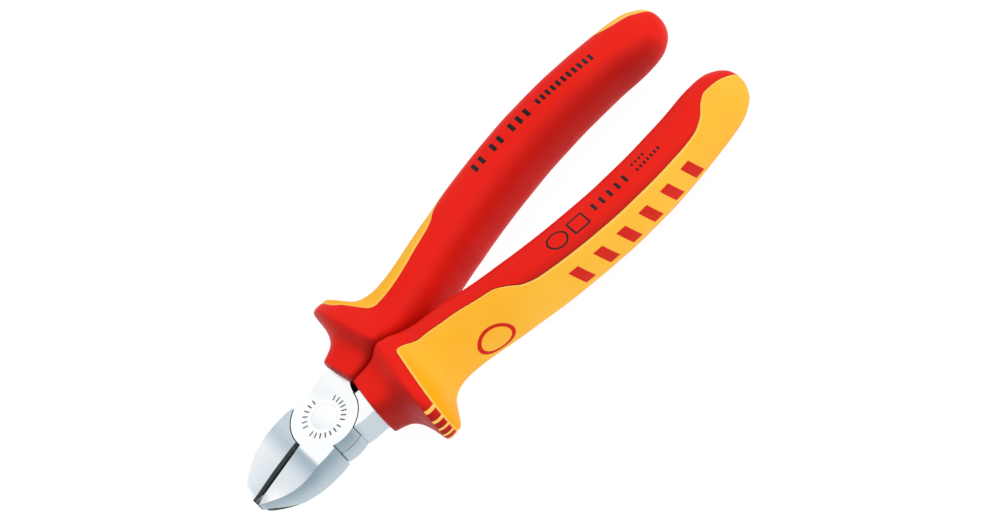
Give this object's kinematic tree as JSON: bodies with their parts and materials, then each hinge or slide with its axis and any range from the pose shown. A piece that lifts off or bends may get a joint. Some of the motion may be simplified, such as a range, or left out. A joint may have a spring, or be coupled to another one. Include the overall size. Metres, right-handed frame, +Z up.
{
  "type": "diagonal cutting pliers",
  "caption": "Insulated diagonal cutting pliers: lap-jointed steel jaws opening on a pivot, hard shell grips with finger guards and soft outer overlays.",
  "frame": {"origin": "centre of the overall footprint, at the lowest point of the guards as the tool lies flat", "axes": "+X from the jaws to the handle ends, +Y towards the handle of half a, +Z up out of the table, along the pivot"},
  "size_m": [0.1606, 0.0534, 0.0246],
  "materials": {
    "steel": "satin chrome plate over forged steel",
    "shell": "satin hard plastic",
    "overlay": "matt soft elastomer"
  },
  "bodies": {
    "half_a": {"jaw_half_a": "steel", "grip_shell_a": "shell", "grip_overlay_a": "overlay", "pivot_rivet": "steel"},
    "half_b": {"jaw_half_b": "steel", "grip_shell_b": "shell", "grip_overlay_b": "overlay"}
  },
  "joints": [
    {"name": "pivot", "type": "hinge", "parent": "half_a", "child": "half_b", "pos_m": [-0.05295, 0, 0.0123], "axis": [0, 0, -1], "range_deg": [0, 40]}
  ]
}
